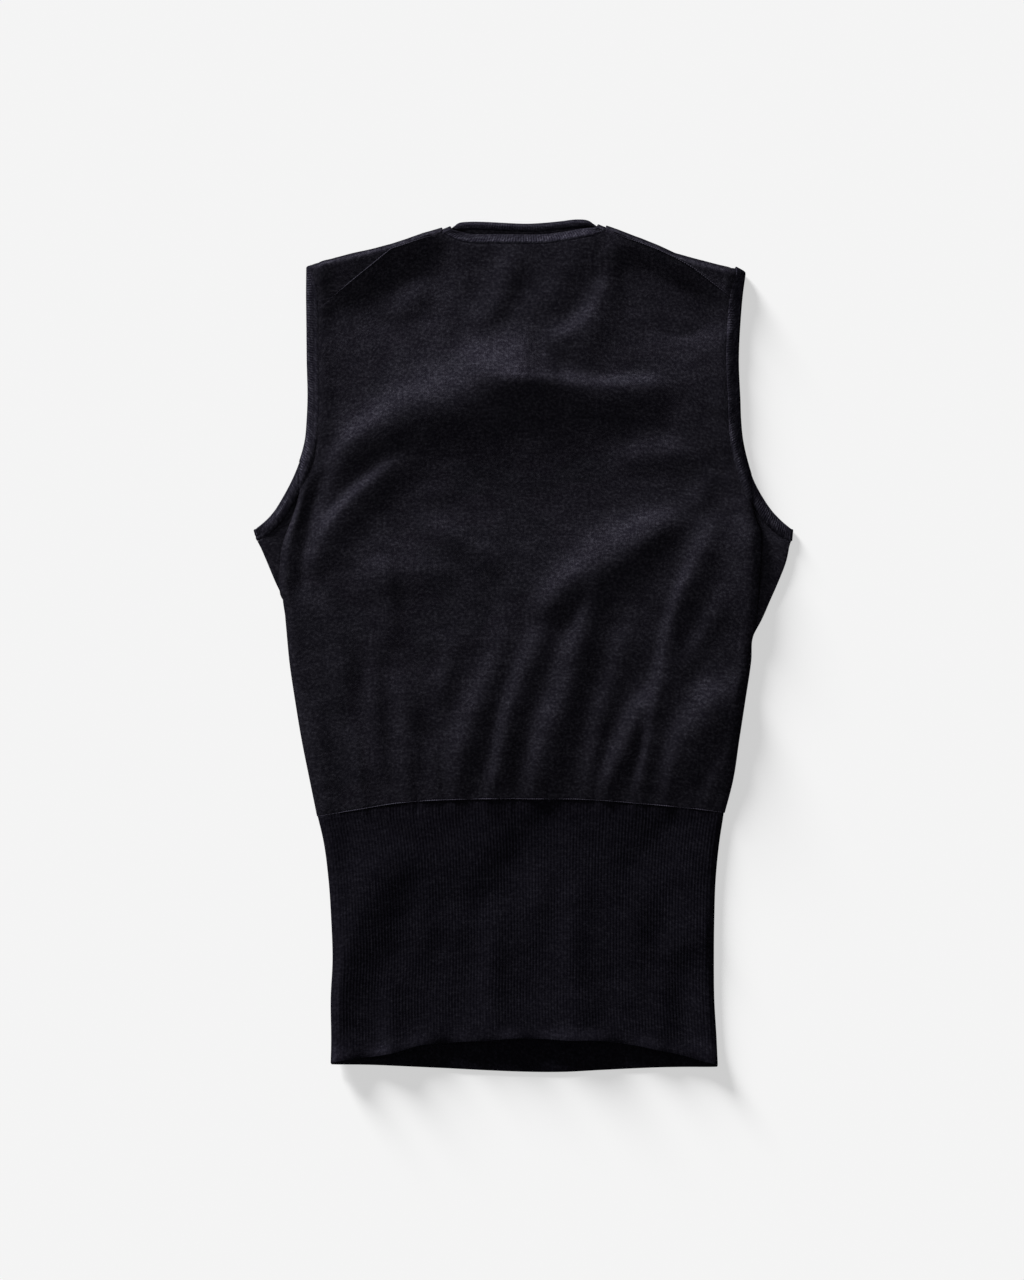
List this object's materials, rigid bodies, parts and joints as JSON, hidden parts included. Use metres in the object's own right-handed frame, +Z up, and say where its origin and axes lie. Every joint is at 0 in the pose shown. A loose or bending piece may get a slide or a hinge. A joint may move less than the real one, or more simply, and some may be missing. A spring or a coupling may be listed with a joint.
{
  "type": "sleeveless knit top",
  "caption": "Sleeveless fine-knit top with a wide neck and a deep ribbed waistband, gathered at the waist, laid flat with its back upwards.",
  "frame": {"origin": "middle of the garment's outline, on the surface it lies on", "axes": "+Y from the hem to the neck, +X to the right as seen from above, +Z up from the surface"},
  "size_m": [0.4007, 0.6322, 0.0175],
  "materials": {
    "jersey": "matt fine single jersey, black with a trace of violet",
    "rib": "matt fine rib, black",
    "trim": "matt knitted trim, black"
  },
  "bodies": {
    "root": {"body_back": "jersey", "body_front": "jersey", "waistband_back": "rib", "waistband_front": "rib", "armhole_band_left": "trim", "armhole_band_right": "trim", "neck_band": "trim"}
  },
  "joints": []
}
